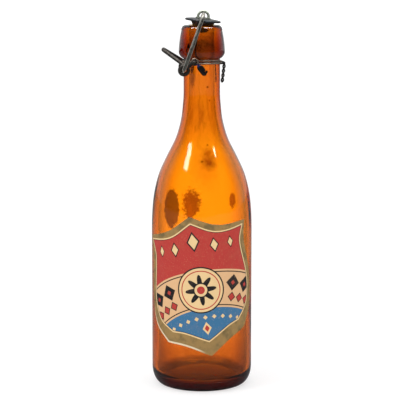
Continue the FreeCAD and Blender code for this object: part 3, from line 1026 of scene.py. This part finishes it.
def printed_paper():
    """The paper: the worn print inside its two lines and gold border on the front, and a bare back."""
    n = Finish("old_printed_paper")
    flat = n.parts(n.add("ShaderNodeUVMap", uv_map="flat").outputs["UV"])
    across = n.math("MULTIPLY_ADD", flat["X"], LABEL_SPAN, -0.5 * LABEL_SPAN)
    up = n.math("MULTIPLY_ADD", flat["Y"], LABEL_SPAN, LABEL_TOP - LABEL_SPAN)
    edge = n.add("ShaderNodeAttribute", attribute_name="edge").outputs["Fac"]

    colour = printed_fields(n, across, up)
    worn = n.effect(AGE_BLOTCHES, vector=n.place, scale=1500.0, level=0.60, softness=0.10)
    colour = n.mix(n.math("MULTIPLY", worn, 0.35), colour, CREAM)
    shade = n.effect(AGE_BLOTCHES, vector=n.place, scale=90.0, level=0.45, softness=0.3)
    colour = n.mix(n.math("MULTIPLY", shade, 0.10), colour, SHADED_PAPER)
    colour = n.mix(n.below(edge, KEY_RING - 0.03, 0.02), colour, INK)
    colour = n.mix(n.below(edge, CREAM_RING, 0.02), colour, LINE)
    colour = n.mix(n.below(edge, SHIELD_RING, 0.01), colour, gold_border(n, across, up, edge))

    from_axis = n.vector("LENGTH", n.vector("MULTIPLY", n.place, (1.0, 1.0, 0.0)))
    back = n.below(from_axis, (LABEL_R + 0.5 * LABEL_T) * MM, 0.05 * MM)
    fibre = n.effect(FINE_GRAIN, vector=n.place, scale=900.0)
    n.surface({
        "Base Color": n.mix(back, colour, BARE_BACK),
        "Roughness": 0.55,
        "Specular IOR Level": 0.3,
        "Normal": n.bump(fibre, strength=0.2, distance=0.00012),
    })
    return n.material


def use(piece, material):
    piece.data.materials.clear()
    piece.data.materials.append(material)


# Glass and label

glass = blown_glass()
use(glass, amber_glass())
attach(glass, "bottle")
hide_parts("glass_bottle")

label = paper_label()
use(label, printed_paper())
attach(label, "bottle")
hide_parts("paper_label")

# Closure

tie_steel = old_wire(
    "old_tie_wire", bright=srgb(140, 126, 112), dark=srgb(84, 70, 62), roughness=0.32, wear_and_sheen=black_ends_and_glint)
lever_steel = old_wire("dark_lever_wire", bright=srgb(62, 58, 54), dark=srgb(36, 33, 31), roughness=0.42)
bail_steel = old_wire(
    "dull_bail_wire", bright=srgb(104, 104, 98), dark=srgb(58, 55, 52), roughness=0.22, wear_and_sheen=painted_edge_sheen)
tinned = old_wire(
    "tinned_staple", bright=srgb(150, 156, 144), dark=srgb(88, 90, 80), roughness=0.40, level=0.5)

tail = folded_tail()
use(tail, tie_steel)
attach(tail, "bottle")

use(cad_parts["tie_wire"], tie_steel)
use(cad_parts["lever_wire"], lever_steel)
use(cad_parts["bail_wire"], bail_steel)
use(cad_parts["stopper_staple"], tinned)
use(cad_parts["stopper_disc"], dark_disc())
use(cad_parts["stopper_plug"], rubber())

# Stage, light and camera

# The room's strength and the floor's paint, for what is seen, what lights and what is mirrored
BACKDROP = 1.55
ROOM_LIGHT = 1.05
REFLECTED_BACK = 0.66
REFLECTED_FRONT = 0.035
BEHIND_RISE = (-0.1, 0.55)
FLOOR_SIZE = 8.0
FLOOR_PAINT = (0.93, 0.93, 0.93, 1)
FLOOR_REFLECTED = (0.22, 0.22, 0.22, 1)
FLOOR_SEEN = (0.42, 0.42, 0.42, 1)
FLOOR_GLOW = 0.60
WHITE = (1, 1, 1, 1)

# Where the softboxes aim and the camera stands in metres, and its lens and sensor in millimetres
LIGHT_AIM = Vector((0, 0, 0.15))
CAMERA_PLACE = (-0.00119, -1.15, 0.308)
CAMERA_TILT = math.radians(80.95)
CAMERA_LENS = 156.3
CAMERA_SENSOR = 36


def floor_paint():
    """Pale paint that keeps a soft shadow where it is seen, and is dim in the glass's own reflections."""
    n = Finish("pale_floor_paint")
    mirrored = n.mirrored()
    seen = n.add("ShaderNodeLightPath").outputs["Is Camera Ray"]
    n.surface({
        "Base Color": n.mix(seen, n.mix(mirrored, FLOOR_PAINT, FLOOR_REFLECTED), FLOOR_SEEN),
        "Roughness": 0.8,
        "Specular IOR Level": 0.1,
        "Emission Color": WHITE,
        "Emission Strength": n.math("MULTIPLY_ADD", mirrored, -FLOOR_GLOW, FLOOR_GLOW),
    })
    return n.material


def soft_studio():
    """An even white room. Reflections see it bright behind the bottle and dim in front."""
    world = bpy.data.worlds.new("soft_studio")
    bpy.context.scene.world = world
    world.use_nodes = True
    n = Nodes(world.node_tree)
    way = n.parts(n.add("ShaderNodeTexCoord").outputs["Generated"])
    behind = n.ramp(way["Y"], *BEHIND_RISE)
    reflected = n.math("MULTIPLY_ADD", behind, REFLECTED_BACK - REFLECTED_FRONT, REFLECTED_FRONT)
    diffuse = n.add("ShaderNodeLightPath").outputs["Is Diffuse Ray"]
    direct = n.math("MULTIPLY_ADD", diffuse, ROOM_LIGHT - BACKDROP, BACKDROP)
    strength = n.math("MULTIPLY_ADD", n.mirrored(), n.math("SUBTRACT", reflected, direct), direct)
    background = n.tree.nodes["Background"]
    n.set(background.inputs["Color"], WHITE)
    n.set(background.inputs["Strength"], strength)


def softbox(name, azimuth, elevation, distance, size, power, mirrored_only=False):
    """A soft light that looks at the bottle's middle. Azimuth is from the front, to the right."""
    turn, lift = math.radians(azimuth), math.radians(elevation)
    way = Vector((math.sin(turn) * math.cos(lift), -math.cos(turn) * math.cos(lift), math.sin(lift)))
    data = bpy.data.lights.new(name, "AREA")
    data.shape = "RECTANGLE"
    data.size, data.size_y = size
    data.energy = power
    lamp = bpy.data.objects.new(name, data)
    bpy.context.scene.collection.objects.link(lamp)
    lamp.location = LIGHT_AIM + way * distance
    lamp.rotation_euler = way.to_track_quat("Z", "Y").to_euler()
    lamp.visible_camera = False
    lamp.visible_diffuse = not mirrored_only


def photo_camera():
    """The camera at the photo's angle, with its colours as they are."""
    data = bpy.data.cameras.new("camera")
    data.lens = CAMERA_LENS
    data.sensor_width = CAMERA_SENSOR
    camera = bpy.data.objects.new("camera", data)
    bpy.context.scene.collection.objects.link(camera)
    camera.location = CAMERA_PLACE
    camera.rotation_euler = (CAMERA_TILT, 0, 0)
    bpy.context.scene.camera = camera
    bpy.context.scene.view_settings.view_transform = "Standard"


bpy.ops.object.select_all(action="DESELECT")
bpy.ops.mesh.primitive_plane_add(size=FLOOR_SIZE, location=(0, 0, 0))
floor = bpy.context.object
floor.name = "pale_floor"
use(floor, floor_paint())

soft_studio()
softbox("left_softbox", azimuth=-56, elevation=41, distance=1.2, size=(0.26, 0.25), power=2.8)
softbox("right_softbox", azimuth=56, elevation=43, distance=1.2, size=(0.12, 0.12), power=0.8)
for lamp_name, lamp_azimuth in (("left_high_softbox", -56), ("right_high_softbox", 56)):
    softbox(
        lamp_name, lamp_azimuth, elevation=68, distance=1.0, size=(0.70, 0.57), power=14,
        mirrored_only=True,
    )
photo_camera()
